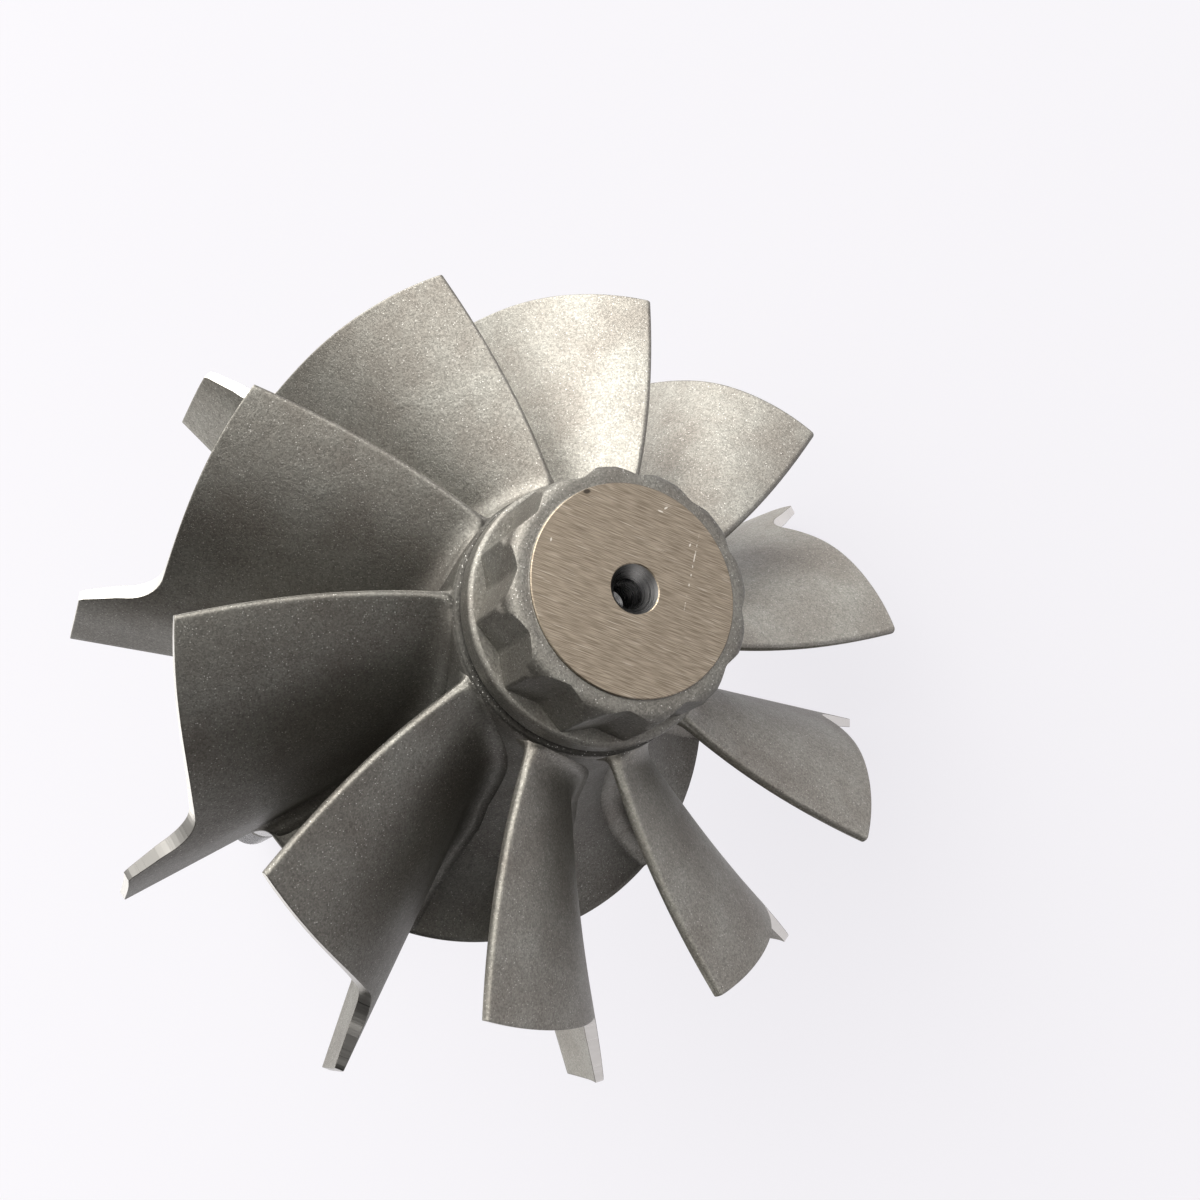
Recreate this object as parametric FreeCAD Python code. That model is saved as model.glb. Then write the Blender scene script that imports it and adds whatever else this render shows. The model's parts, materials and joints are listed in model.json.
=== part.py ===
import FreeCAD, Part
import math
import os

# Turbine shaft wheel of a turbocharger: a cast radial-inflow wheel of ten blades,
# friction welded to a turned steel shaft. All sizes in millimetres.
#
# The wheel is drawn about its own axis first: +z runs out of the nose and z = 0 is
# the flat back of the disc. At the end the finished part is laid down as it rests
# on a bench, on two blade tips and the end of the shaft, with +Z up.

# Blades, seen in the meridional plane (radius and height above the back)
BLADES = 10
EXDUCER_D = 76.5            # over the blades at the gas outlet
INLET_REACH = 7.1           # the inlet fins stand out this far beyond the outlet
INLET_WIDTH = 10.9          # axial width of the inlet tip
INLET_DROP = 1.05           # fall of the fins' shoulder from the shroud to the tip
SHROUD_CORNER_R = 4.1       # radius of the turn from shroud to shoulder
EXDUCER_Z = 30.25           # height of the outlet edge at its tip
OUTLET_RISE = 2.0           # the outlet edge stands this much higher at its root

# Blade camber: the turn about the axis in degrees, the same at every radius, against
# the height as a share of EXDUCER_Z. Counter-clockwise seen from the nose, and zero at
# the tip of the outlet edge. The blade is nearly straight at the inlet and hooks over
# at the outlet.
CAMBER = [(1.107, -16.5), (1.066, -9.85), (1.0, 0.0), (0.912, 8.9), (0.807, 15.9),
          (0.615, 22.6), (0.433, 26.45), (0.36, 27.4), (0.182, 28.5), (0.0, 29.15), (-0.05, 29.3)]

# Blade thickness, measured round the circle
TIP_THICK = 1.0             # inlet tip
FIN_TAPER = 0.105           # gain per millimetre inwards, inlet fins
SHROUD_THICK = 1.35         # along the shroud edge
BLADE_TAPER = 0.06          # gain per millimetre inwards, middle of the blade
OUTLET_THICK = 0.6          # outlet edge, at the tip
OUTLET_TAPER = 0.018        # gain per millimetre inwards, outlet edge
TRIM_SPARE = 1.5            # how far the blades are drawn past their outline and into the hub

# Hub and disc
DISC_D = 59.0
DISC_RIM = 1.3              # rim thickness
DISC_EDGE_R = 0.4           # round on the back edge of the rim
DISC_SLOPE = 13.0           # degrees that the disc face falls towards its rim
HUB_FRONT_D = 27.0
HUB_SHOULDER = 0.45         # hub left in front of the outlet edges
HUB_PULL_FRONT = 15.5       # how far the hub line runs on before it bends
HUB_PULL_DISC = 10.0        # how far the disc face runs in before it bends
HUB_CHORDS = 8              # straight cuts that make up the hub line
BOSS_D = 25.0               # weld boss behind the disc
BOSS_L = 3.5
BOSS_FILLET = 1.5

# Nose: neck, collar, twelve-point head and ground face
NECK_STEP = 0.45            # the neck is this much smaller in radius than the collar
NECK_W = 0.9
COLLAR_D = 26.3
COLLAR_W = 2.6
COLLAR_ROUND = 0.9
HEAD_AF = 22.0              # across flats of the twelve-point head
HEAD_L = 7.8                # from the collar to the ground face
HEAD_TURN = 28.0            # degrees from the tip of an outlet edge to a notch
NOTCH_ROUND = 0.5
POINT_ROUND = 0.5
HEAD_ROUND = 1.9            # cast round at the front of the head
FACE_D = 20.2               # ground face
FACE_PROUD = 0.3
FACE_STEP = 0.15            # narrow ledge around the ground face
CENTRE_MOUTH_D = 4.7        # centre hole
CENTRE_PILOT_D = 2.8
CENTRE_PILOT_DEPTH = 4.0
CENTRE_ANGLE = 60.0

# Shaft, from the weld to the thread
FLANGE_L = 2.0
SEAL_D = 22.0
SEAL_L = 10.0
RING_GROOVE_W = 1.7
RING_GROOVE_DEPTH = 1.4
RING_GROOVE_AT = 4.0        # from the shaft side of the seal land
JOURNAL_D = 15.0
UNDERCUT_D = 14.2
UNDERCUT_W = 2.0
JOURNAL_A_L = 20.0
WAIST_D = 14.4
WAIST_L = 26.0
JOURNAL_B_L = 19.0
STEM_D = 10.0
STEM_L = 47.0
THREAD_D = 9.85
THREAD_L = 18.0
THREAD_NECK_D = 8.6
THREAD_NECK_W = 1.6
EDGE_CHAMFER = 0.5
END_CHAMFER = 1.0
END_CENTRE_D = 3.2

V = FreeCAD.Vector
AXIS = V(0, 0, 1)
ORIGIN = V(0, 0, 0)
EXDUCER_R = EXDUCER_D / 2
INDUCER_R = EXDUCER_R + INLET_REACH
OUTLET_ROOT_Z = EXDUCER_Z + OUTLET_RISE
DISC_R = DISC_D / 2
HUB_FRONT_R = HUB_FRONT_D / 2
HUB_FRONT_Z = OUTLET_ROOT_Z + HUB_SHOULDER
BOSS_R = BOSS_D / 2
COLLAR_R = COLLAR_D / 2
COLLAR_BACK_Z = HUB_FRONT_Z + NECK_W
COLLAR_FRONT_Z = COLLAR_BACK_Z + COLLAR_W
NOSE_Z = COLLAR_FRONT_Z + HEAD_L


def at(r, z):
    """A point of the meridional plane."""
    return V(r, 0, z)


def turned(*points):
    """A turned solid from a closed outline of radius and height pairs."""
    outline = [at(r, z) for r, z in points]
    face = Part.Face(Part.makePolygon(outline + outline[:1]))
    return face.revolve(ORIGIN, AXIS, 360)


def bend(r, z, radius, first, last, chords=2):
    """Points of a round about (r, z), from one angle in degrees to another."""
    turns = [math.radians(first + (last - first) * k / chords) for k in range(chords + 1)]
    return [(r + radius * math.cos(t), z + radius * math.sin(t)) for t in turns]


def hub_curve():
    """The hub line, from behind the collar down to the rim of the disc."""
    slope = math.radians(DISC_SLOPE)
    run = V(math.cos(slope), 0, -math.sin(slope))
    start = at(HUB_FRONT_R, HUB_FRONT_Z)
    end = at(DISC_R, DISC_RIM)
    curve = Part.BezierCurve()
    curve.setPoles([start, start - AXIS * HUB_PULL_FRONT, end - run * HUB_PULL_DISC, end])
    return curve


def where(curve, axis, wanted):
    """Point of a curve that falls all the way along one axis, at a value on it."""
    low = curve.FirstParameter
    high = curve.LastParameter
    for _ in range(40):
        middle = (low + high) / 2
        if curve.value(middle)[axis] > wanted:
            low = middle
        else:
            high = middle
    return curve.value(low)


def camber_angle(height):
    """Turn of the blade at a height, read off a smooth curve through CAMBER."""
    curve = Part.BSplineCurve()
    curve.interpolate([V(share * EXDUCER_Z, turn, 0) for share, turn in CAMBER])
    return where(curve, 0, height).y


def blend(height, stations):
    """Straight-line reading between stations of height and value, highest first."""
    if height >= stations[0][0]:
        return stations[0][1]
    for (z1, a), (z2, b) in zip(stations, stations[1:]):
        if height >= z2:
            return b + (a - b) * (height - z2) / (z1 - z2)
    return stations[-1][1]


def thickness(r, height):
    """Blade thickness: thin at the outlet edge, thicker inwards and down the shroud."""
    fin = TIP_THICK + FIN_TAPER * INLET_REACH
    run = EXDUCER_Z - INLET_WIDTH
    edge = blend(height, [(EXDUCER_Z, OUTLET_THICK), (EXDUCER_Z - run * 0.15, SHROUD_THICK * 0.9),
                          (EXDUCER_Z - run * 0.4, SHROUD_THICK), (INLET_WIDTH, fin)])
    taper = blend(height, [(EXDUCER_Z, OUTLET_TAPER), (EXDUCER_Z - run * 0.3, BLADE_TAPER),
                           (EXDUCER_Z - run * 0.8, BLADE_TAPER), (INLET_WIDTH, FIN_TAPER)])
    return edge + taper * (EXDUCER_R - r)


def hub_radius(height):
    """Radius of the hub at a height."""
    if height >= HUB_FRONT_Z:
        return HUB_FRONT_R
    if height <= DISC_RIM:
        return DISC_R
    return where(hub_curve(), 2, height).x


def blade_section(height):
    """Closed outline of one blade at a height: from inside the hub to past the tip."""
    inner = hub_radius(height) - TRIM_SPARE
    outer = INDUCER_R + TRIM_SPARE
    turn = math.radians(camber_angle(height))
    along = V(math.cos(turn), math.sin(turn), 0)
    across = V(-math.sin(turn), math.cos(turn), 0)
    corners = []
    for r, side in ((inner, 0.5), (outer, 0.5), (outer, -0.5), (inner, -0.5)):
        corners.append(along * r + across * side * thickness(r, height) + AXIS * height)
    return Part.makePolygon(corners + corners[:1])


def blade_outline():
    """Everything inside the outline of the blades in the meridional plane."""
    core = HUB_FRONT_R / 2
    rise = OUTLET_RISE / (EXDUCER_R - HUB_FRONT_R)
    slope = math.degrees(math.atan2(INLET_DROP, INLET_REACH))
    half = math.radians(90 - slope) / 2
    centre_r = EXDUCER_R + SHROUD_CORNER_R
    centre_z = INLET_WIDTH + INLET_DROP + SHROUD_CORNER_R * math.tan(half + math.radians(slope))
    corner = bend(centre_r, centre_z, SHROUD_CORNER_R, 180, 270 - slope, 3)
    return turned((core, 0), (core, EXDUCER_Z + rise * (EXDUCER_R - core)), (EXDUCER_R, EXDUCER_Z),
                  *corner, (INDUCER_R, INLET_WIDTH), (INDUCER_R, 0))


def blade():
    """One blade, lofted through its sections and trimmed to its outline."""
    rise = EXDUCER_Z - INLET_WIDTH
    heights = [-TRIM_SPARE / 2]
    heights += [INLET_WIDTH * share for share in (0.33, 0.67, 1.0)]
    heights += [INLET_WIDTH + rise * share for share in (0.14, 0.27, 0.4, 0.52, 0.63, 0.74, 0.84, 0.92, 1.0)]
    heights.append(OUTLET_ROOT_Z + TRIM_SPARE / 2)
    blank = Part.makeLoft([blade_section(height) for height in heights], True, True)
    return blank.common(blade_outline())


def hub():
    """Hub, disc and weld boss, turned about the axis."""
    curve = hub_curve()
    line = [curve.value(k / HUB_CHORDS) for k in range(HUB_CHORDS + 1)]
    outline = [(point.x, point.z) for point in line]
    outline += bend(DISC_R - DISC_EDGE_R, DISC_EDGE_R, DISC_EDGE_R, 0, -90, 1)
    outline += bend(BOSS_R + BOSS_FILLET, -BOSS_FILLET, BOSS_FILLET, 90, 180)
    return turned(*outline, (BOSS_R, -BOSS_L), (0, -BOSS_L), (0, HUB_FRONT_Z))


def collar():
    """Neck and round collar in front of the blades."""
    neck = COLLAR_R - NECK_STEP
    back = min(NECK_STEP * 0.8, COLLAR_W / 3)
    front = min(COLLAR_ROUND, COLLAR_W / 2)
    return turned((0, HUB_FRONT_Z - NECK_W), (neck, HUB_FRONT_Z - NECK_W), (neck, COLLAR_BACK_Z),
                  *bend(COLLAR_R - back, COLLAR_BACK_Z + back, back, -90, 0, 1),
                  *bend(COLLAR_R - front, COLLAR_FRONT_Z - front, front, 0, 90),
                  (0, COLLAR_FRONT_Z))


def upright_edges(solid, radius):
    """Straight edges parallel to the axis, at a radius from it."""
    found = []
    for edge in solid.Edges:
        low, high = edge.Vertexes[0].Point, edge.Vertexes[-1].Point
        if abs(low.z - high.z) > HEAD_L / 2 and abs(math.hypot(low.x, low.y) - radius) < 0.01:
            found.append(edge)
    return found


def twelve_point(base, top):
    """Prism of two hexagons thirty degrees apart, with its corners eased."""
    point_r = HEAD_AF / 2 / math.cos(math.radians(30))
    notch_r = HEAD_AF / 2 / math.cos(math.radians(15))
    corners = []
    for k in range(24):
        r = point_r if k % 2 else notch_r
        turn = math.radians(HEAD_TURN + 15 * k)
        corners.append(V(r * math.cos(turn), r * math.sin(turn), base))
    star = Part.Face(Part.makePolygon(corners + corners[:1])).extrude(V(0, 0, top - base))
    star = star.makeFillet(POINT_ROUND, upright_edges(star, point_r))
    return star.makeFillet(NOTCH_ROUND, upright_edges(star, notch_r))


def head():
    """Twelve-point head with its front end cast round, and the ground pad on it."""
    base = COLLAR_FRONT_Z - COLLAR_W / 2
    top = NOSE_Z - FACE_PROUD
    over = HEAD_AF / 2 / math.cos(math.radians(30)) + POINT_ROUND
    crown = FACE_D / 2 + FACE_STEP
    side = crown + HEAD_ROUND
    shoulder = top - HEAD_ROUND
    envelope = turned((0, base - NECK_W), (over, base - NECK_W), (over, shoulder - (over - side) * 2.2),
                      *bend(crown, shoulder, HEAD_ROUND, 0, 90, 3), (0, top))
    pad = Part.makeCylinder(FACE_D / 2, HEAD_ROUND + FACE_PROUD, at(0, shoulder))
    return twelve_point(base, top).common(envelope).fuse(pad)


def centre_hole():
    """Centre-drilled hole: a cone that ends in a small pilot."""
    mouth = CENTRE_MOUTH_D / 2
    pilot = CENTRE_PILOT_D / 2
    cone = NOSE_Z - (mouth - pilot) / math.tan(math.radians(CENTRE_ANGLE / 2))
    floor = cone - CENTRE_PILOT_DEPTH
    return turned((0, NOSE_Z + FACE_PROUD), (mouth, NOSE_Z + FACE_PROUD), (mouth, NOSE_Z), (pilot, cone),
                  (pilot, floor), (0, floor - pilot * 0.6))


def turbine_wheel():
    """The whole casting: hub and disc, blades, collar and head."""
    one = blade()
    pieces = [collar(), head()]
    for k in range(BLADES):
        copy = one.copy()
        copy.rotate(ORIGIN, AXIS, 360.0 / BLADES * k)
        pieces.append(copy)
    return hub().fuse(pieces).cut(centre_hole()).removeSplitter()


def shaft():
    """Turned shaft: weld flange, seal land, two journals, stem and thread."""
    journal = JOURNAL_D / 2
    seal = SEAL_D / 2
    stem = STEM_D / 2
    thread = THREAD_D / 2
    z0 = -BOSS_L
    z1 = z0 - FLANGE_L
    z2 = z1 - SEAL_L
    groove_low = z2 + RING_GROOVE_AT
    groove_high = groove_low + RING_GROOVE_W
    z3 = z2 - UNDERCUT_W
    z4 = z3 - JOURNAL_A_L
    z5 = z4 - WAIST_L
    z6 = z5 - JOURNAL_B_L
    z7 = z6 - STEM_L
    z8 = z7 - THREAD_NECK_W
    z9 = z7 - THREAD_L
    c = EDGE_CHAMFER
    waist = WAIST_D / 2
    slope = (journal - waist) * 2
    return turned((0, z0), (BOSS_R, z0), (BOSS_R, z1 + c), (BOSS_R - c, z1), (seal, z1),
                   (seal, groove_high), (seal - RING_GROOVE_DEPTH, groove_high),
                   (seal - RING_GROOVE_DEPTH, groove_low), (seal, groove_low),
                   (seal, z2 + c), (seal - c, z2), (UNDERCUT_D / 2, z2), (UNDERCUT_D / 2, z3),
                   (journal - c, z3), (journal, z3 - c), (journal, z4), (waist, z4 - slope),
                   (waist, z5 + slope), (journal, z5), (journal, z6 + c), (journal - c, z6),
                   (stem, z6), (stem, z7 + c), (stem - c, z7), (THREAD_NECK_D / 2, z7),
                   (THREAD_NECK_D / 2, z8), (thread, z8 - (thread - THREAD_NECK_D / 2)),
                   (thread, z9 + END_CHAMFER), (thread - END_CHAMFER, z9),
                   (END_CENTRE_D / 2, z9), (0, z9 + END_CENTRE_D))


def shaft_end():
    """Height of the end of the shaft on the wheel's axis, and of its outer corner."""
    end = (-BOSS_L - FLANGE_L - SEAL_L - UNDERCUT_W - JOURNAL_A_L - WAIST_L - JOURNAL_B_L
           - STEM_L - THREAD_L)
    return end + END_CHAMFER, THREAD_D / 2


def resting_place():
    """Lays the part on two blade tips and the end of the shaft, nose up and towards -Y."""
    corner_z, corner_r = shaft_end()
    step = math.radians(180.0 / BLADES)
    lean = TIP_THICK / 2 / INDUCER_R
    tip_drop = INDUCER_R * math.cos(step - lean)
    tilt = math.atan2(tip_drop - corner_r, -corner_z)
    # turn the wheel so that two inlet tips straddle the lowest line
    inlet = camber_angle(0.0)
    turn = FreeCAD.Rotation(AXIS, -180.0 / BLADES - inlet)
    nose = V(0, -math.cos(tilt), math.sin(tilt))
    upward = V(0, math.sin(tilt), math.cos(tilt))
    sideways = nose.cross(upward)
    stand = FreeCAD.Rotation(upward, sideways, nose, "ZXY")
    return FreeCAD.Placement(ORIGIN, stand.multiply(turn))


def main():
    os.makedirs("parts", exist_ok=True)
    wheel = turbine_wheel()
    rod = shaft()
    place = resting_place()
    wheel.Placement = place
    rod.Placement = place
    box = wheel.optimalBoundingBox()
    box.add(rod.optimalBoundingBox())
    place.Base = V(-box.Center.x, -box.Center.y, -box.ZMin)
    wheel.Placement = place
    rod.Placement = place
    wheel.exportStep("parts/turbine_wheel.step")
    rod.exportStep("parts/shaft.step")
    print("nose direction", place.Rotation.multVec(AXIS), "origin", place.Base)
    print("size", box.XLength, box.YLength, box.ZLength)
    print("wheel", wheel.isValid(), len(wheel.Solids), round(wheel.Volume), "faces", len(wheel.Faces))
    print("shaft", rod.isValid(), len(rod.Solids), round(rod.Volume), "faces", len(rod.Faces))


main()
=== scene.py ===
import json
import math

import bpy
import numpy as np
from mathutils import Matrix, Vector


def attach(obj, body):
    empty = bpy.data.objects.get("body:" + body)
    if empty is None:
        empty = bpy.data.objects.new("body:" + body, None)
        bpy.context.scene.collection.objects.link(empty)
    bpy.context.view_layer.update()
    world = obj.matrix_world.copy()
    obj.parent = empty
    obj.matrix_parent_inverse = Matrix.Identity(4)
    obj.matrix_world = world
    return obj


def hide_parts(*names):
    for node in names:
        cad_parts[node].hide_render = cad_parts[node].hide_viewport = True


# The turbine end of a turbocharger shaft, lying on a white table with its nose towards
# the camera. Lengths are metres, unless a name ends in _MM.

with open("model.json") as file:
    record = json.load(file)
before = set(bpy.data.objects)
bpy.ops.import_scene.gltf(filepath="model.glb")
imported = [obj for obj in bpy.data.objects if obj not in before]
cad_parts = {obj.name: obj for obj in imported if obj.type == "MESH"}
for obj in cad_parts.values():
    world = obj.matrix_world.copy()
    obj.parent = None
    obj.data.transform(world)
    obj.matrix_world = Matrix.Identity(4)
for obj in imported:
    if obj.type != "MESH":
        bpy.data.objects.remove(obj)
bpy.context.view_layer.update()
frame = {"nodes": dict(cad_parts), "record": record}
MM = 0.001

# The wheel's own axes, read off the mounts: NOSE points out of the nose, UP is the
# steepest line square to it and SIDE completes the set. ORIGIN is the flat back of
# the disc, on the axis.
MOUNTS = {mount["name"]: mount for mount in frame["record"]["mounts"]}
JOURNAL_BEHIND_DISC = 27.75 * MM
NOSE = Vector(MOUNTS["nose_face"]["axis"]).normalized()
SIDE = Vector((-1, 0, 0))
UP = SIDE.cross(NOSE)
ORIGIN = Vector(MOUNTS["front_journal"]["pos_m"]) + NOSE * JOURNAL_BEHIND_DISC

# Blades
BLADES = 10
OUTLET_R_MM = 38.25              # outer end of the outlet edge, and the shroud
OUTLET_Z_MM = 30.25
OUTLET_RISE_MM = 2.0             # the outlet edge stands this much higher at its root
TIP_R_MM = 45.34                 # ends of the inlet fins
TIP_WIDTH_MM = 10.9
SHOULDER_DROP_MM = 1.05          # fall of the fins' shoulder towards the tip
CORNER_R_MM = 4.1                # turn from the shroud to the shoulder
FIRST_BLADE = -18.0 - 29.15      # turn of the outlet tip of the first blade from UP
# Painted light and shade: how much lighter or darker each blade's skin is painted to stand for how the light
# falls on it, and the same for the hub, the collar and the head
BLADE_PAINTED_LIGHT = (0.84, 0.69, 0.72, 1.02, 1.08, 1.12, 1.18, 0.88, 1.0, 0.95)
BODY_PAINTED_LIGHT = (0.72, 0.80, 0.74)
# Height and turn of the blades' middle surface
CAMBER = [(33.5, -16.5), (32.25, -9.85), (30.25, 0.0), (27.6, 8.9), (24.4, 15.9), (18.6, 22.6),
          (13.1, 26.45), (10.9, 27.4), (5.5, 28.5), (0.0, 29.15), (-1.5, 29.3)]
# Thickness at the shroud's radius by height, and its gain per millimetre inwards. The lower
# part is measured round the circle, the outlet square to the surface.
LOWER_Z_MM = (TIP_WIDTH_MM, 15.0, 22.5)
LOWER_THICK_MM = (1.75, 1.46, 1.35)
LOWER_GAIN = (0.105, 0.06, 0.06)
OUTER_Z_MM = (22.5, 27.3, OUTLET_Z_MM)
OUTER_THICK_MM = (1.06, 1.08, 1.1)
OUTER_GAIN = (0.06, 0.035, 0.006)
BLEND_Z_MM = (18.6, 22.5)        # from one thickness to the other
SQUARE_Z_MM = (15.0, 22.0)       # from here up the sides are set off square to the surface
OUTLET_BLUNT = 0.8               # depth of the outlet edge's round, as a share of half the thickness
OUTLET_POWER = 2.4               # 2 is a true round, more is blunter
ROOT_FILLET_MM = 2.1
SHROUD_BREAK_MM = 0.07           # broken edge beside the machined shroud
# A blade is drawn from its outlet edge (0) to the disc's back (1); these are the shares at
# which its outer edge turns, and the heights of the hub line that go with them
SHROUD_END, CORNER_END, SHOULDER_END, RIM_START = 0.5, 0.66, 0.76, 0.93
ROOT_Z_MM = (11.5, 7.6, 4.6)
FILLET_SHARE = ((0, 0.02, 0.9, 1), (0.15, 1, 1, 0.5))    # the fillet fades at both ends
OUTLET_STEPS = [0, 0.0002, 0.0008, 0.0018, 0.0032, 0.005, 0.0075, 0.011, 0.016, 0.025]
ROOT_STEPS_MM = [-0.8, -0.35, 0.0, 0.22, 0.5, 0.85, 1.3, 1.85]

# Hub
DISC_R_MM = 29.5
DISC_RIM_MM = 1.3
DISC_EDGE_MM = 0.4               # round on the back edge of the rim
DISC_SLOPE = math.radians(13)
HUB_FRONT_R_MM = 13.5
HUB_FRONT_Z_MM = 32.7
HUB_PULL_FRONT_MM = 15.5         # how far the hub line runs on before it bends
HUB_PULL_DISC_MM = 10.0          # how far the disc's face runs in before it bends
BOSS_R_MM = 12.5
BOSS_L_MM = 3.5
BOSS_FILLET_MM = 1.5

# Nose
NECK_R_MM = 12.6
COLLAR_R_MM = 13.15
COLLAR_BACK_MM = 33.6
COLLAR_FRONT_MM = 36.2
COLLAR_ROUND_MM = 0.55
COLLAR_BACK_ROUND_MM = 0.36
HEAD_FLAT_MM = 11.0
HEAD_TURN = FIRST_BLADE + 28.0   # turn of one notch
HEAD_DRAFT = 0.03                # taper of the flats towards the nose
CORNER_EASE = 0.8                # degrees of turn over which points and notches are eased
NOTCH_EASE_MM = 0.05
POINT_EASE_MM = 0.12
NOSE_Z_MM = 44.0
FACE_R_MM = 10.1
FACE_PROUD_MM = 0.3
FACE_BREAK_MM = 0.09             # broken edge of the ground face
FACE_LEDGE_MM = 0.12             # cast ledge around the ground face
CROWN_MM = 1.9                   # depth of the cast round at the front of the head
CROWN_POWER = 3.4                # 2 is a true round, more is flatter in front
CROWN_FLARE = 2.2                # below its round the crown widens by one part in this many
HOLE_MOUTH_R_MM = 2.35
HOLE_PILOT_R_MM = 1.4
HOLE_PILOT_MM = 4.0
HOLE_CONE = math.radians(30)     # half angle of the countersink

# Camera, fitted to the photograph
LENS = 40.516
SENSOR = 36.0
SHIFT = (0.00716, -0.00493)
EYE_MM = (57.95, 19.39, 149.06)
IMAGE_RIGHT = (-0.8804, 0.2525, 0.4014)
IMAGE_DOWN = (0.1561, 0.9536, -0.2575)

# Finish and light
GRIND_TURN = math.radians(150)   # direction of the scratches on the nose face, from UP
# Marks on the nose face: middle along UP and SIDE, half length, half width (mm) and turn
LONG_SCRATCH = (-6.05, -0.4, 4.7, 0.07, 61)
KNOCKS = [(-5.35, -6.97, 0.26, 0.11, 20), (-4.70, -6.75, 0.34, 0.09, 150), (-6.78, -3.14, 0.20, 0.10, 50),
          (6.9, -5.7, 0.22, 0.09, 64)]
RIM_NICK = (2.2, -9.6, 0.45, 0.28, 0)
THREAD_PITCH = 1.25 * MM
THREAD_FROM = -131.0 * MM          # the thread starts this far along from the disc
TABLE_COLOUR = (0.07, 0.07, 0.07, 1)
TABLE_GLOW_COLOUR = (0.973, 0.954, 1.0, 1)
TABLE_GLOW = 0.80
TABLE_HALF = 6.0
# Soft lights: where, how bright, and how fast each fades away from its middle
WINDOWS = [((0.68, -0.58, 0.45), 5.3, 4.0), ((1.0, -0.1, 0.1), 5.5, 4.0), ((0.55, 0.3, 0.78), 0.9, 4.0),
           ((0.0, 1.0, -0.05), 3.2, 7.0)]
WINDOW_COLOUR = (1.0, 0.985, 0.955, 1)


def in_world(x, y, z):
    """A direction given along UP, SIDE and NOSE."""
    return UP * x + SIDE * y + NOSE * z


def point(r_mm, degrees, z_mm):
    """A place on the wheel: radius, turn from UP towards SIDE, and height above the disc's back."""
    turn = math.radians(degrees)
    return ORIGIN + in_world(r_mm * math.cos(turn), r_mm * math.sin(turn), z_mm) * MM


def mesh_object(name, points, faces, material_of, flat_from=9):
    """A new object from points and faces; faces of the kinds from flat_from up aren't smoothed."""
    mesh = bpy.data.meshes.new(name)
    mesh.from_pydata([tuple(p) for p in points], [], faces)
    mesh.validate()
    mesh.update()
    mesh.polygons.foreach_set("material_index", material_of)
    mesh.polygons.foreach_set("use_smooth", [kind < flat_from for kind in material_of])
    piece = bpy.data.objects.new(name, mesh)
    bpy.context.scene.collection.objects.link(piece)
    return piece


def natural_spline(table):
    """A natural cubic spline through (x, y) pairs, as a function."""
    x, y = np.array(sorted(table)).T
    n = len(x)
    h = np.diff(x)
    system = np.eye(n)
    right = np.zeros(n)
    for i in range(1, n - 1):
        system[i, i - 1:i + 2] = h[i - 1], 2 * (h[i - 1] + h[i]), h[i]
        right[i] = 6 * ((y[i + 1] - y[i]) / h[i] - (y[i] - y[i - 1]) / h[i - 1])
    bend = np.linalg.solve(system, right)

    def value(at):
        i = int(np.clip(np.searchsorted(x, at) - 1, 0, n - 2))
        a, b = x[i + 1] - at, at - x[i]
        return float((bend[i] * a ** 3 + bend[i + 1] * b ** 3) / (6 * h[i])
                     + (y[i] / h[i] - bend[i] * h[i] / 6) * a
                     + (y[i + 1] / h[i] - bend[i + 1] * h[i] / 6) * b)

    return value


camber = natural_spline(CAMBER)


def lean(r, z):
    """How far the blade leans over from the axis at a place, in radians."""
    return math.atan(r * math.radians(camber(z + 0.1) - camber(z - 0.1)) / 0.2)


def thickness(r, z):
    """Blade thickness square to its surface, in millimetres: thickest at the inlet's root."""
    inwards = OUTLET_R_MM - r
    lower = np.interp(z, LOWER_Z_MM, LOWER_THICK_MM) + np.interp(z, LOWER_Z_MM, LOWER_GAIN) * inwards
    lower *= math.cos(lean(r, z))
    outer = np.interp(z, OUTER_Z_MM, OUTER_THICK_MM) + np.interp(z, OUTER_Z_MM, OUTER_GAIN) * inwards
    return lower + (outer - lower) * np.interp(z, BLEND_Z_MM, (0, 1))


def hub_line(s):
    """Hub line from the collar (0) to the rim of the disc (1)."""
    run = np.array((math.cos(DISC_SLOPE), -math.sin(DISC_SLOPE)))
    start = np.array((HUB_FRONT_R_MM, HUB_FRONT_Z_MM))
    end = np.array((DISC_R_MM, DISC_RIM_MM))
    front = start - np.array((0, HUB_PULL_FRONT_MM))
    back = end - run * HUB_PULL_DISC_MM
    return (1 - s) ** 3 * start + 3 * s * (1 - s) ** 2 * front + 3 * s * s * (1 - s) * back + s ** 3 * end


def hub_share(z):
    """Where the hub line passes a height."""
    low, high = 0.0, 1.0
    for _ in range(40):
        middle = (low + high) / 2
        if hub_line(middle)[1] > z:
            low = middle
        else:
            high = middle
    return low


def shroud_corner():
    """Centre of the turn between shroud and shoulder, and the angle that it spans."""
    slope = math.atan2(SHOULDER_DROP_MM, TIP_R_MM - OUTLET_R_MM)
    half = (math.pi / 2 - slope) / 2
    centre = np.array((OUTLET_R_MM + CORNER_R_MM,
                       TIP_WIDTH_MM + SHOULDER_DROP_MM + CORNER_R_MM * math.tan(half + slope)))
    return centre, math.pi / 2 - slope


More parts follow.
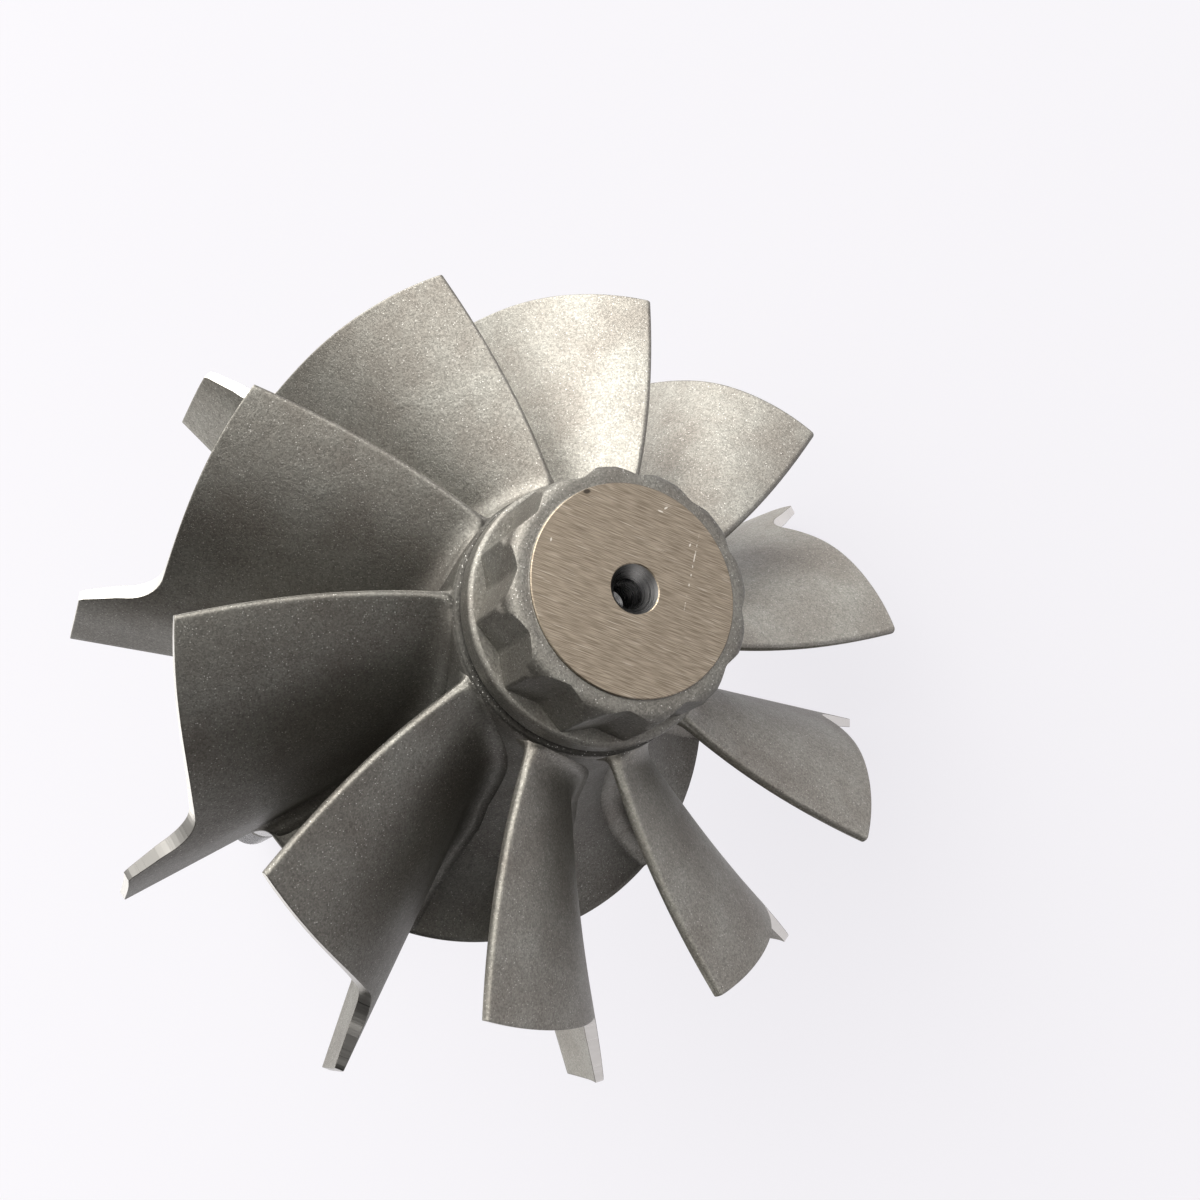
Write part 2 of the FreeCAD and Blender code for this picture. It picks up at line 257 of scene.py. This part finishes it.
def shroud_line(t):
    """Outer edge of a blade: down the shroud, round the corner, out and down the tip."""
    centre, span = shroud_corner()
    if t <= SHROUD_END:
        return np.array((OUTLET_R_MM, OUTLET_Z_MM + (centre[1] - OUTLET_Z_MM) * t / SHROUD_END))
    if t <= CORNER_END:
        turn = math.pi + span * (t - SHROUD_END) / (CORNER_END - SHROUD_END)
        return centre + CORNER_R_MM * np.array((math.cos(turn), math.sin(turn)))
    last = centre + CORNER_R_MM * np.array((math.cos(math.pi + span), math.sin(math.pi + span)))
    tip = np.array((TIP_R_MM, TIP_WIDTH_MM))
    if t <= SHOULDER_END:
        return last + (tip - last) * (t - CORNER_END) / (SHOULDER_END - CORNER_END)
    return tip * np.array((1, (1 - t) / (1 - SHOULDER_END)))


def root_line(t):
    """Inner edge of a blade: along the hub and over the rim of the disc."""
    if t > RIM_START:
        return np.array((DISC_R_MM, DISC_RIM_MM * (1 - t) / (1 - RIM_START)))
    top = OUTLET_Z_MM + OUTLET_RISE_MM
    shares = [hub_share(z) for z in (top,) + ROOT_Z_MM] + [1.0]
    return hub_line(np.interp(t, (0.0, SHROUD_END, CORNER_END, SHOULDER_END, RIM_START), shares))


def edge_round(depth, half):
    """Share of the half thickness that is left near the blunt, rounded outlet edge."""
    blunt = half * OUTLET_BLUNT
    if depth >= blunt:
        return 1.0
    return (1 - (1 - max(depth, 0.0) / blunt) ** OUTLET_POWER) ** (1 / OUTLET_POWER)


def blade_row(t):
    """One row of a blade from root to outer edge: radius, height, half width round the circle and lift."""
    root, rim = root_line(t), shroud_line(t)
    reach = np.linalg.norm(rim - root)
    out = (rim - root) / reach
    steps = ROOT_STEPS_MM + list(np.linspace(2.6, reach - 0.5, 16))
    steps += [reach - 0.2, reach - SHROUD_BREAK_MM, reach]
    row = []
    for d in steps:
        r, z = root + out * d
        a = lean(r, z)
        end = OUTLET_Z_MM + OUTLET_RISE_MM * (OUTLET_R_MM - r) / (OUTLET_R_MM - HUB_FRONT_R_MM)
        half = thickness(max(r, 8), z) / 2
        half *= edge_round((end - z) / math.cos(a), half)
        if d == reach:
            half = max(half - SHROUD_BREAK_MM * 0.7, 0.0)
        gap = min(max(d, 0.0), ROOT_FILLET_MM)
        flare = ROOT_FILLET_MM - math.sqrt(ROOT_FILLET_MM ** 2 - (ROOT_FILLET_MM - gap) ** 2)
        flare *= np.interp(t, *FILLET_SHARE)
        square = np.interp(z, SQUARE_Z_MM, (0, 1))
        around = half * (square * math.cos(a) + (1 - square) / math.cos(a)) + flare
        row.append((r, z, around, -half * square * math.sin(a)))
    return row


def blade(turn, name):
    """One blade: two sides that meet in a cast round at the outlet, with a flat machined edge."""
    rows = [blade_row(t) for t in OUTLET_STEPS + list(np.linspace(0.04, 1.0, 62))]
    count, width = len(rows), len(rows[0])
    points, faces, kinds = [], [], []
    for side in (1, -1):
        for row in rows:
            for r, z, around, lift in row:
                points.append(point(r, turn + camber(z) + side * math.degrees(around / r), z + side * lift))
    other = count * width

    def quad(a, b, c, d, kind):
        faces.append((a, b, c, d))
        kinds.append(kind)

    for i in range(count - 1):
        for j in range(width - 1):
            a = i * width + j
            quad(a, a + 1, a + width + 1, a + width, 0)
            a += other
            quad(a + width, a + width + 1, a + 1, a, 0)
        a = i * width + width - 1
        quad(a, a + other, a + other + width, a + width, 1)
    for j in range(width - 1):
        a = (count - 1) * width + j
        quad(a, a + 1, a + 1 + other, a + other, 0)
        a = j
        quad(a + other, a + 1 + other, a + 1, a, 0)
    return mesh_object(name, points, faces, kinds, 1)


def ring_surface(name, profile, steps, kinds=None, radius=None, flat_from=9):
    """A surface of revolution from (radius, height) pairs; radius may wave with the turn."""
    points, faces, material_of = [], [], []
    for k, (r, z) in enumerate(profile):
        for s in range(steps):
            degrees = 360.0 * s / steps
            shown = r if radius is None else radius(k, degrees)
            points.append(point(shown, degrees, z))
    for k in range(len(profile) - 1):
        for s in range(steps):
            n = (s + 1) % steps
            a, b = k * steps + s, k * steps + n
            faces.append((a, b, b + steps, a + steps))
            material_of.append(0 if kinds is None else kinds[k])
    return mesh_object(name, points, faces, material_of, flat_from)


def arc(r, z, radius, first, last, count=6):
    """Points of a round about (r, z) between two angles in degrees."""
    turns = np.radians(np.linspace(first, last, count))
    return [(r + radius * math.cos(t), z + radius * math.sin(t)) for t in turns]


def hub():
    """Hub and disc in one turn of their line, with the disc's back and the weld boss."""
    line = [tuple(hub_line(s)) for s in np.linspace(0, 1, 60)]
    front = [(NECK_R_MM, HUB_FRONT_Z_MM + 0.1), (HUB_FRONT_R_MM - 0.35, HUB_FRONT_Z_MM + 0.02),
             (HUB_FRONT_R_MM - 0.1, HUB_FRONT_Z_MM - 0.1)]
    rim = arc(DISC_R_MM - DISC_EDGE_MM, DISC_EDGE_MM, DISC_EDGE_MM, 0, -90)
    foot = arc(BOSS_R_MM + BOSS_FILLET_MM, -BOSS_FILLET_MM, BOSS_FILLET_MM, 90, 180, 10)
    return ring_surface("hub", front + line[1:] + rim + foot + [(BOSS_R_MM, -BOSS_L_MM)], 240)


def collar():
    """Neck and round collar; the collar's front runs in under the head."""
    profile = [(NECK_R_MM, HUB_FRONT_Z_MM - 0.3), (NECK_R_MM, COLLAR_BACK_MM - 0.25),
               (NECK_R_MM + 0.08, COLLAR_BACK_MM - 0.05)]
    profile += arc(COLLAR_R_MM - COLLAR_BACK_ROUND_MM, COLLAR_BACK_MM + COLLAR_BACK_ROUND_MM,
                   COLLAR_BACK_ROUND_MM, -90, 0)
    profile += arc(COLLAR_R_MM - COLLAR_ROUND_MM, COLLAR_FRONT_MM - COLLAR_ROUND_MM,
                   COLLAR_ROUND_MM, 0, 90, 10)
    profile += [(r, COLLAR_FRONT_MM) for r in (12.2, 11.6, 9.5)]
    return ring_surface("collar", profile, 240)


def star_radius(degrees):
    """Outline of the twelve-point head, with eased points and notches."""
    turn = (degrees - HEAD_TURN) % 30.0
    from_notch = min(turn, 30.0 - turn)
    flat = HEAD_FLAT_MM / math.cos(math.radians(from_notch + 15.0))
    if from_notch < CORNER_EASE:
        flat += NOTCH_EASE_MM * (1 - from_notch / CORNER_EASE) ** 2
    if from_notch > 15.0 - CORNER_EASE:
        flat -= POINT_EASE_MM * (1 - (15.0 - from_notch) / CORNER_EASE) ** 2
    return flat


def crown_radius(z):
    """Radius of the turned round that cuts the points back at the front of the head."""
    shoulder = NOSE_Z_MM - FACE_PROUD_MM - CROWN_MM
    rim = FACE_R_MM + FACE_LEDGE_MM
    if z <= shoulder:
        return rim + CROWN_MM + (shoulder - z) / CROWN_FLARE
    return rim + CROWN_MM * max(0.0, 1 - ((z - shoulder) / CROWN_MM) ** CROWN_POWER) ** (1 / CROWN_POWER)


def head():
    """Twelve-point head: flats, the cast round over them, the ground face and the centre hole."""
    top = NOSE_Z_MM - FACE_PROUD_MM
    shoulder = top - CROWN_MM
    levels = [COLLAR_FRONT_MM - 0.6] + list(np.linspace(COLLAR_FRONT_MM, shoulder, 22))
    levels += [shoulder + CROWN_MM * math.sin(a) ** (2 / CROWN_POWER)
               for a in np.radians(np.linspace(0, 90, 28))[1:]]
    face = [(FACE_R_MM + 0.04, top), (FACE_R_MM, top + 0.04), (FACE_R_MM, NOSE_Z_MM - FACE_BREAK_MM),
            (FACE_R_MM - FACE_BREAK_MM, NOSE_Z_MM), (HOLE_MOUTH_R_MM + 0.1, NOSE_Z_MM)]
    cone = NOSE_Z_MM - (HOLE_MOUTH_R_MM - HOLE_PILOT_R_MM) / math.tan(HOLE_CONE)
    bore = [(HOLE_MOUTH_R_MM, NOSE_Z_MM - 0.1), (HOLE_PILOT_R_MM, cone),
            (HOLE_PILOT_R_MM, cone - HOLE_PILOT_MM), (0.02, cone - HOLE_PILOT_MM - 0.8)]
    profile = [(0, z) for z in levels] + face + bore
    outer = len(levels)
    kinds = [0] * (outer + 1) + [1] * len(face[1:]) + [2] * len(bore[1:])

    def radius(k, degrees):
        r, z = profile[k]
        if k >= outer:
            return r
        return min(star_radius(degrees) - HEAD_DRAFT * (z - COLLAR_FRONT_MM), crown_radius(z))

    return ring_surface("head", profile, 720, kinds, radius, 1)


def node(tree, kind, inputs=None, **settings):
    """Adds a shader node; an input is either a value or the socket that feeds it."""
    made = tree.nodes.new(kind)
    for name, value in settings.items():
        setattr(made, name, value)
    for name, value in (inputs or {}).items():
        if isinstance(value, bpy.types.NodeSocket):
            tree.links.new(value, made.inputs[name])
        else:
            made.inputs[name].default_value = value
    return made


def maths(tree, operation, a, b=0.0):
    return node(tree, "ShaderNodeMath", {0: a, 1: b}, operation=operation).outputs[0]


def spread(tree, value, low, high, to_low=0.0, to_high=1.0):
    """Maps a value from one range to another, held at the ends."""
    return node(tree, "ShaderNodeMapRange", {"Value": value, "From Min": low, "From Max": high,
                                             "To Min": to_low, "To Max": to_high}).outputs["Result"]


def mix_colour(tree, factor, a, b, blend_type="MIX"):
    """Mixes colour b into colour a; each input is a value or a socket."""
    made = node(tree, "ShaderNodeMix", {}, data_type="RGBA", blend_type=blend_type)
    for socket, value in ((made.inputs[0], factor), (made.inputs[6], a), (made.inputs[7], b)):
        if isinstance(value, bpy.types.NodeSocket):
            tree.links.new(value, socket)
        else:
            socket.default_value = value
    return made.outputs[2]


def noise(tree, where, scale, detail=4.0, rough=0.55):
    return node(tree, "ShaderNodeTexNoise", {"Vector": where, "Scale": scale, "Detail": detail,
                                             "Roughness": rough}).outputs[0]


def group(name, ins, outs):
    """A shader node group with named sockets: its tree, its input node and its output node."""
    tree = bpy.data.node_groups.new(name, "ShaderNodeTree")
    for socket, kind, value in ins:
        made = tree.interface.new_socket(socket, in_out="INPUT", socket_type=kind)
        if value is not None:
            made.default_value = value
    for socket, kind in outs:
        tree.interface.new_socket(socket, in_out="OUTPUT", socket_type=kind)
    return tree, tree.nodes.new("NodeGroupInput"), tree.nodes.new("NodeGroupOutput")


def fill(tree, result, **values):
    """Links a group's results to its output node."""
    for name, socket in values.items():
        tree.links.new(socket, result.inputs[name])


def axial_place():
    """Places measured along and around the wheel's axis, in metres."""
    tree, given, result = group("axial_place", [("Place", "NodeSocketVector", None)],
                                [("Along", "NodeSocketFloat"), ("Radius", "NodeSocketFloat"),
                                 ("Turn", "NodeSocketFloat"), ("Local", "NodeSocketVector")])
    local = node(tree, "ShaderNodeVectorMath", {0: given.outputs["Place"], 1: ORIGIN},
                 operation="SUBTRACT").outputs[0]
    parts = [node(tree, "ShaderNodeVectorMath", {0: local, 1: axis}, operation="DOT_PRODUCT").outputs["Value"]
             for axis in (UP, SIDE, NOSE)]
    radius = maths(tree, "SQRT", maths(tree, "ADD", maths(tree, "MULTIPLY", parts[0], parts[0]),
                                       maths(tree, "MULTIPLY", parts[1], parts[1])))
    turn = maths(tree, "ARCTAN2", parts[1], parts[0])
    joined = node(tree, "ShaderNodeCombineXYZ", {"X": parts[0], "Y": parts[1], "Z": parts[2]}).outputs[0]
    fill(tree, result, Along=parts[2], Radius=radius, Turn=turn, Local=joined)
    return tree


def shell_grain():
    """The skin that a ceramic shell mould leaves: fine grains, and painted glints where a few grains are made
    to catch the light.
    """
    tree, given, result = group("shell_grain", [("Place", "NodeSocketVector", None)],
                                [("Grain", "NodeSocketFloat"), ("Sparkle", "NodeSocketFloat"),
                                 ("Mottle", "NodeSocketFloat"), ("Height", "NodeSocketFloat")])
    place = given.outputs["Place"]
    cells = node(tree, "ShaderNodeTexVoronoi", {"Vector": place, "Scale": 6800.0})
    speck = node(tree, "ShaderNodeSeparateColor", {"Color": cells.outputs["Color"]}).outputs
    # Painted glints: a few grains are picked out to be painted pale
    near = spread(tree, cells.outputs["Distance"], 0.2, 0.5, 1.0, 0.0)
    painted_glint = maths(tree, "MULTIPLY", spread(tree, speck[0], 0.90, 1.0), near)
    medium = noise(tree, place, 3300.0, 2.0, 0.6)
    grain = maths(tree, "ADD", maths(tree, "MULTIPLY", speck[1], 0.4), maths(tree, "MULTIPLY", medium, 0.6))
    mottle = noise(tree, place, 130.0, 5.0, 0.62)
    embossed = maths(tree, "MULTIPLY", noise(tree, place, 1100.0, 2.0, 0.5), spread(tree, mottle, 0.45, 0.65))
    height = maths(tree, "ADD", maths(tree, "MULTIPLY", grain, 0.5), embossed)
    fill(tree, result, Grain=grain, Sparkle=painted_glint, Mottle=mottle, Height=height)
    return tree


def turned_rings():
    """Fine rings that a turning tool leaves along the axis and, where Across is 1, over end faces."""
    tree, given, result = group("turned_rings", [("Place", "NodeSocketVector", None),
                                                 ("Scale", "NodeSocketFloat", 5000.0),
                                                 ("Detail", "NodeSocketFloat", 2.0),
                                                 ("Across", "NodeSocketFloat", 1.0)],
                                [("Lines", "NodeSocketFloat")])
    axial = use(tree, AXIAL_PLACE, given.outputs["Place"])
    across = maths(tree, "MULTIPLY", axial["Radius"], given.outputs["Across"])
    where = node(tree, "ShaderNodeCombineXYZ", {"X": axial["Along"], "Y": across}).outputs[0]
    fill(tree, result, Lines=noise(tree, where, given.outputs["Scale"], given.outputs["Detail"], 0.6))
    return tree


def surface_of(name):
    """A new material: its tree, its shader and the place on the object."""
    material = bpy.data.materials.new(name)
    material.use_nodes = True
    tree = material.node_tree
    place = node(tree, "ShaderNodeTexCoord").outputs["Object"]
    return material, tree, tree.nodes["Principled BSDF"], place


def use(tree, which, place, **values):
    """Puts a group in a material, with values for its other inputs: its outputs."""
    made = tree.nodes.new("ShaderNodeGroup")
    made.node_tree = which
    tree.links.new(place, made.inputs["Place"])
    for name, value in values.items():
        made.inputs[name].default_value = value
    return made.outputs


def feed(tree, shader, colour, rough, height, lift, strength):
    """Links colour and roughness to the shader, and the height to it as relief."""
    tree.links.new(colour, shader.inputs["Base Color"])
    tree.links.new(rough, shader.inputs["Roughness"])
    bump = node(tree, "ShaderNodeBump", {"Height": height, "Distance": lift, "Strength": strength})
    tree.links.new(bump.outputs["Normal"], shader.inputs["Normal"])


def neck_painted_shade(tree, place):
    """Darkening factor of painted shade in the neck behind the collar."""
    axial = use(tree, AXIAL_PLACE, place)
    past_hub = spread(tree, axial["Along"], (HUB_FRONT_Z_MM - 0.5) * MM, (HUB_FRONT_Z_MM - 0.1) * MM)
    before_collar = spread(tree, axial["Along"], COLLAR_BACK_MM * MM, (COLLAR_BACK_MM + 0.3) * MM, 1.0, 0.0)
    low = spread(tree, axial["Radius"], (HUB_FRONT_R_MM + 0.2) * MM, (HUB_FRONT_R_MM + 0.6) * MM, 1.0, 0.0)
    inside = maths(tree, "MULTIPLY", maths(tree, "MULTIPLY", past_hub, before_collar), low)
    return spread(tree, inside, 0.0, 1.0, 1.0, 0.35)


def cast_alloy():
    """As-cast nickel alloy: warm dark grey, mottled, with a fine sandy grain and painted glints, lighter or
    darker per piece as painted light and shade, with painted shade in the neck behind the collar.
    """
    material, tree, shader, place = surface_of("cast_alloy")
    grain = use(tree, SHELL_GRAIN, place)
    patches = spread(tree, grain["Mottle"], 0.35, 0.65)
    colour = mix_colour(tree, patches, (0.185, 0.171, 0.151, 1), (0.245, 0.238, 0.214, 1))
    # Painted light and shade: the piece's own colour makes the skin lighter or darker
    painted_light = node(tree, "ShaderNodeObjectInfo").outputs["Color"]
    colour = mix_colour(tree, 1.0, colour, painted_light, "MULTIPLY")
    colour = mix_colour(tree, 1.0, colour, spread(tree, grain["Grain"], 0.25, 0.75, 0.76, 1.24), "MULTIPLY")
    # Painted shade in the neck behind the collar
    colour = mix_colour(tree, 1.0, colour, neck_painted_shade(tree, place), "MULTIPLY")
    # Painted glints: a few grains are painted pale
    colour = mix_colour(tree, maths(tree, "MULTIPLY", grain["Sparkle"], 0.65), colour, (0.75, 0.73, 0.69, 1))
    rough = spread(tree, grain["Grain"], 0.25, 0.75, 0.53, 0.47)
    shader.inputs["Metallic"].default_value = 0.9
    feed(tree, shader, colour, rough, grain["Height"], 0.00010, 0.8)
    return material


def machined_edge():
    """Outer edges of the blades, turned to size after casting."""
    material, tree, shader, place = surface_of("machined_edge")
    lines = use(tree, TURNED_RINGS, place, Scale=5200.0)["Lines"]
    mottle = noise(tree, place, 160.0, 4.0)
    colour = mix_colour(tree, mottle, (0.54, 0.52, 0.49, 1), (0.74, 0.72, 0.69, 1))
    # Painted light and shade: the piece's own colour makes the edge lighter or darker
    painted_light = node(tree, "ShaderNodeObjectInfo").outputs["Color"]
    colour = mix_colour(tree, 1.0, colour, painted_light, "MULTIPLY")
    shader.inputs["Metallic"].default_value = 1.0
    feed(tree, shader, colour, spread(tree, lines, 0.3, 0.7, 0.26, 0.42), lines, 0.00001, 0.6)
    return material


def mark(tree, where, up_mm, side_mm, long_mm, wide_mm, turn):
    """Mask of one oval mark on the nose face: its centre, half sizes and turn from UP."""
    middle = (up_mm * MM, side_mm * MM, NOSE_Z_MM * MM)
    turned = node(tree, "ShaderNodeVectorRotate", {"Vector": where, "Center": middle,
                                                   "Angle": -math.radians(turn)},
                  rotation_type="Z_AXIS").outputs[0]
    away = node(tree, "ShaderNodeVectorMath", {0: turned, 1: middle}, operation="SUBTRACT").outputs[0]
    scaled = node(tree, "ShaderNodeVectorMath", {0: away, 1: (1 / (long_mm * MM), 1 / (wide_mm * MM), 1.0)},
                  operation="MULTIPLY").outputs[0]
    length = node(tree, "ShaderNodeVectorMath", {0: scaled}, operation="LENGTH").outputs["Value"]
    return spread(tree, length, 0.6, 1.0, 1.0, 0.0)


def ground_face():
    """The nose face, ground flat: fine straight scratches one way, over a tan sheen, with a few knocks."""
    material, tree, shader, place = surface_of("ground_face")
    axial = use(tree, AXIAL_PLACE, place)
    turned = node(tree, "ShaderNodeVectorRotate", {"Vector": axial["Local"], "Angle": -GRIND_TURN},
                  rotation_type="Z_AXIS").outputs[0]
    drawn = node(tree, "ShaderNodeVectorMath", {0: turned, 1: (0.05, 1.0, 1.0)},
                 operation="MULTIPLY").outputs[0]
    fine = noise(tree, drawn, 10500.0, 1.5, 0.5)
    broad = noise(tree, drawn, 8200.0, 1.0, 0.5)
    mottle = noise(tree, place, 220.0, 4.0)
    lines = spread(tree, fine, 0.34, 0.66)
    colour = mix_colour(tree, lines, (0.165, 0.134, 0.099, 1), (0.320, 0.270, 0.207, 1))
    colour = mix_colour(tree, spread(tree, broad, 0.64, 0.76, 0.0, 0.5), colour, (0.56, 0.50, 0.42, 1))
    colour = mix_colour(tree, spread(tree, broad, 0.26, 0.36, 0.3, 0.0), colour, (0.12, 0.09, 0.07, 1))
    colour = mix_colour(tree, spread(tree, mottle, 0.55, 0.75, 0.0, 0.3), colour, (0.20, 0.16, 0.12, 1))
    broken = spread(tree, noise(tree, place, 2400.0, 1.0), 0.5, 0.55)
    knocks = maths(tree, "MULTIPLY", mark(tree, axial["Local"], *LONG_SCRATCH), broken)
    for knock in KNOCKS:
        knocks = maths(tree, "MAXIMUM", knocks, mark(tree, axial["Local"], *knock))
    colour = mix_colour(tree, maths(tree, "MULTIPLY", knocks, 0.7), colour, (0.75, 0.70, 0.62, 1))
    colour = mix_colour(tree, mark(tree, axial["Local"], *RIM_NICK), colour, (0.06, 0.05, 0.04, 1))
    shader.inputs["Metallic"].default_value = 0.95
    rough = spread(tree, fine, 0.3, 0.7, 0.44, 0.34)
    feed(tree, shader, colour, rough, maths(tree, "ADD", fine, broad), 0.000012, 0.6)
    return material


def hole_painted_shade():
    """Walls of the centre hole, drilled bright metal with fine rings, painted darker as painted shade inside
    the hole.
    """
    material, tree, shader, place = surface_of("hole_painted_shade")
    lines = use(tree, TURNED_RINGS, place, Scale=6000.0)["Lines"]
    # Painted shade: the hole's colour is kept dark for the shade inside it
    colour = mix_colour(tree, lines, (0.13, 0.13, 0.137, 1), (0.32, 0.315, 0.31, 1))
    shader.inputs["Metallic"].default_value = 1.0
    feed(tree, shader, colour, spread(tree, lines, 0.3, 0.7, 0.22, 0.36), lines, 0.00001, 0.6)
    return material


def turned_steel():
    """The shaft: ground journals with fine rings, and a rolled thread at its end."""
    material, tree, shader, place = surface_of("turned_steel")
    axial = use(tree, AXIAL_PLACE, place)
    lines = use(tree, TURNED_RINGS, place, Scale=4200.0, Detail=3.0, Across=0.0)["Lines"]
    mottle = noise(tree, place, 120.0, 4.0)
    colour = mix_colour(tree, mottle, (0.34, 0.335, 0.33, 1), (0.48, 0.475, 0.47, 1))
    climb = maths(tree, "ADD", maths(tree, "DIVIDE", axial["Along"], THREAD_PITCH),
                  maths(tree, "DIVIDE", axial["Turn"], 2 * math.pi))
    ridge = maths(tree, "PINGPONG", climb, 0.5)
    on_thread = maths(tree, "MULTIPLY", maths(tree, "LESS_THAN", axial["Along"], THREAD_FROM),
                      maths(tree, "GREATER_THAN", axial["Radius"], 4.5 * MM))
    height = maths(tree, "ADD", maths(tree, "MULTIPLY", lines, 0.008),
                   maths(tree, "MULTIPLY", maths(tree, "MULTIPLY", ridge, 2.0), on_thread))
    shader.inputs["Metallic"].default_value = 1.0
    feed(tree, shader, colour, spread(tree, lines, 0.3, 0.7, 0.20, 0.34), height, 0.0006, 1.0)
    return material


def table_top():
    """White table. It takes the part's shadow, and is a little brighter to the eye than its paint."""
    material, tree, shader, _ = surface_of("white_table")
    shader.inputs["Base Color"].default_value = TABLE_COLOUR
    shader.inputs["Roughness"].default_value = 0.8
    shader.inputs["Specular IOR Level"].default_value = 0.15
    rays = node(tree, "ShaderNodeLightPath").outputs
    seen = maths(tree, "MAXIMUM", rays["Is Camera Ray"], rays["Is Glossy Ray"])
    seen = maths(tree, "MAXIMUM", seen, rays["Is Transmission Ray"])
    shader.inputs["Emission Color"].default_value = TABLE_GLOW_COLOUR
    tree.links.new(maths(tree, "MULTIPLY", seen, TABLE_GLOW), shader.inputs["Emission Strength"])
    return material


def camera():
    """The camera, at the photograph's place and angle."""
    data = bpy.data.cameras.new("camera")
    data.lens = LENS
    data.sensor_width = SENSOR
    data.shift_x, data.shift_y = SHIFT
    data.clip_start = 0.01
    eye = ORIGIN + in_world(*EYE_MM) * MM
    right = in_world(*IMAGE_RIGHT).normalized()
    up = -in_world(*IMAGE_DOWN)
    up = (up - right * up.dot(right)).normalized()
    back = right.cross(up)
    turn = Matrix((right, up, back)).transposed().to_4x4()
    piece = bpy.data.objects.new("camera", data)
    piece.matrix_world = Matrix.Translation(eye) @ turn
    bpy.context.scene.collection.objects.link(piece)
    bpy.context.scene.camera = piece


def floor():
    """The table that the part lies on."""
    mesh = bpy.data.meshes.new("table")
    corners = [(x * TABLE_HALF, y * TABLE_HALF, 0) for x, y in ((-1, -1), (1, -1), (1, 1), (-1, 1))]
    mesh.from_pydata(corners, [], [(0, 1, 2, 3)])
    piece = bpy.data.objects.new("table", mesh)
    mesh.materials.append(table_top())
    bpy.context.scene.collection.objects.link(piece)


def light():
    """A dim room with broad soft windows on one side and a pale wall behind the part."""
    world = bpy.data.worlds.new("room")
    bpy.context.scene.world = world
    world.use_nodes = True
    tree = world.node_tree
    toward = node(tree, "ShaderNodeTexCoord").outputs["Generated"]
    total = 0.0
    for place, level, fall in WINDOWS:
        facing = node(tree, "ShaderNodeVectorMath", {0: toward, 1: Vector(place).normalized()},
                      operation="DOT_PRODUCT").outputs["Value"]
        fade = maths(tree, "EXPONENT", maths(tree, "MULTIPLY", maths(tree, "SUBTRACT", facing, 1.0), fall))
        total = maths(tree, "ADD", maths(tree, "MULTIPLY", fade, level), total)
    tree.links.new(total, tree.nodes["Background"].inputs["Strength"])
    tree.nodes["Background"].inputs["Color"].default_value = WINDOW_COLOUR


AXIAL_PLACE = axial_place()
SHELL_GRAIN = shell_grain()
TURNED_RINGS = turned_rings()
cast = cast_alloy()
ground = machined_edge()
face = ground_face()
painted_shade_hole = hole_painted_shade()

wheel_parts = [hub(), collar(), head()]
for k in range(BLADES):
    wheel_parts.append(blade(FIRST_BLADE + 36.0 * k, "blade_%02d" % (k + 1)))
# Each piece carries its painted light and shade as its object colour
for piece, painted_light in zip(wheel_parts, BODY_PAINTED_LIGHT + BLADE_PAINTED_LIGHT):
    piece.color = (painted_light, painted_light, painted_light, 1)
    piece.data.materials.append(cast)
    piece.data.materials.append(face if piece.name == "head" else ground)
    piece.data.materials.append(painted_shade_hole)
    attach(piece, "root")
    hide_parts("turbine_wheel")

steel = turned_steel()
for slot in frame["nodes"]["shaft"].material_slots:
    slot.material = steel

camera()
floor()
light()
bpy.context.scene.view_settings.view_transform = "Standard"
